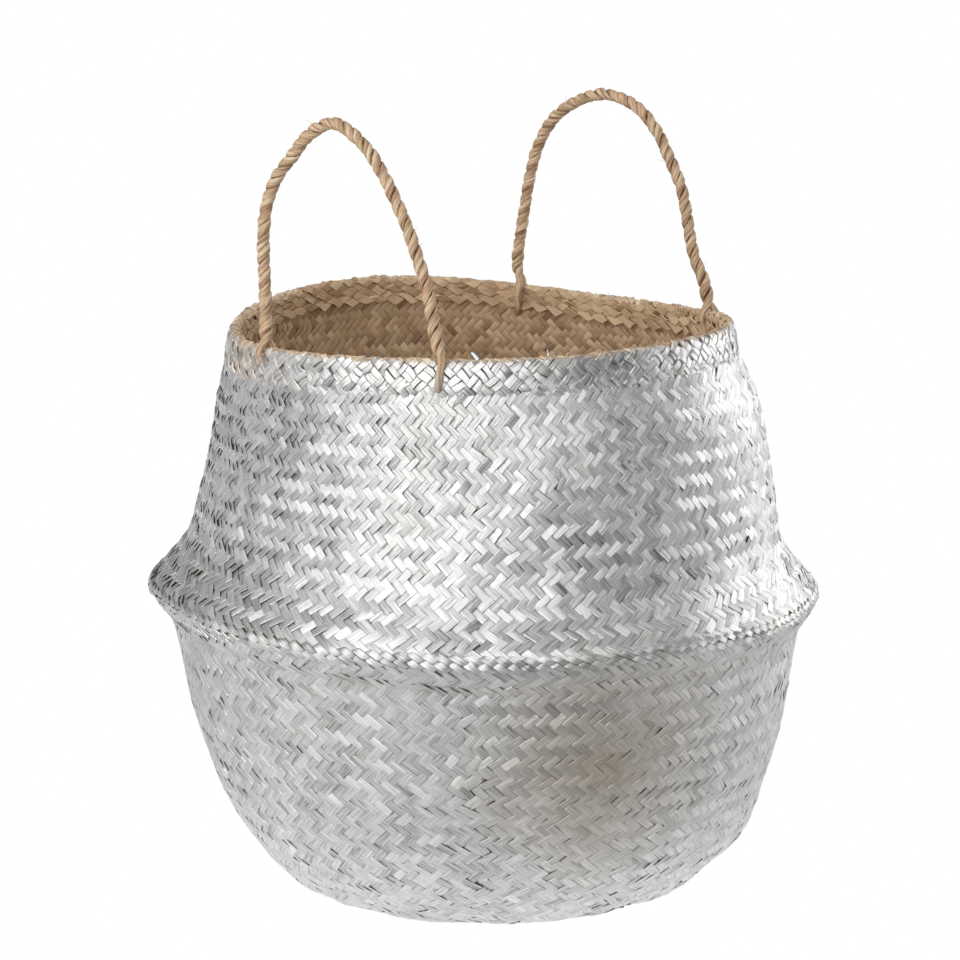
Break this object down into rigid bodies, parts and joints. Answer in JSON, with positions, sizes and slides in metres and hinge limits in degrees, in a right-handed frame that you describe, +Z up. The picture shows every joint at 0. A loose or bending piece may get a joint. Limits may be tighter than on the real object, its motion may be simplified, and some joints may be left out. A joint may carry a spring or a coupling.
{
  "type": "belly basket",
  "caption": "Round plaited sedge basket with a flat base, folded belly ridge, open mouth and twisted rope handles, silver outside and natural inside.",
  "frame": {"origin": "on the floor, under the middle of the base", "axes": "+Z up; the two handles stand at -X and +X; -Y is the front"},
  "size_m": [0.4012, 0.4012, 0.4714],
  "materials": {
    "silver_plait": "silver paint on plaited sedge, thin over the strands' ridges",
    "natural_plait": "bare dry plaited sedge, matt with a faint waxy sheen",
    "natural_rope": "bare twisted sedge rope, dry and fibrous"
  },
  "bodies": {
    "basket": {"base": "natural_plait", "lower_wall": "silver_plait", "belly_fold": "silver_plait", "upper_wall": "silver_plait", "rim_border": "silver_plait", "left_front_outer_ply": "natural_rope", "left_front_inner_ply": "natural_rope", "left_back_outer_ply": "natural_rope", "left_back_inner_ply": "natural_rope", "right_front_outer_ply": "natural_rope", "right_front_inner_ply": "natural_rope", "right_back_outer_ply": "natural_rope", "right_back_inner_ply": "natural_rope"},
    "left_handle": {"left_handle_rope": "natural_rope"},
    "right_handle": {"right_handle_rope": "natural_rope"}
  },
  "joints": [
    {"name": "left_handle_swing", "type": "hinge", "parent": "basket", "child": "left_handle", "pos_m": [-0.13489, -0.00837, 0.355], "axis": [-0.0619, 0.9981, 0], "range_deg": [-110, 110]},
    {"name": "right_handle_swing", "type": "hinge", "parent": "basket", "child": "right_handle", "pos_m": [0.12813, -0.00335, 0.355], "axis": [0.0262, 0.9997, 0], "range_deg": [-110, 110]}
  ]
}
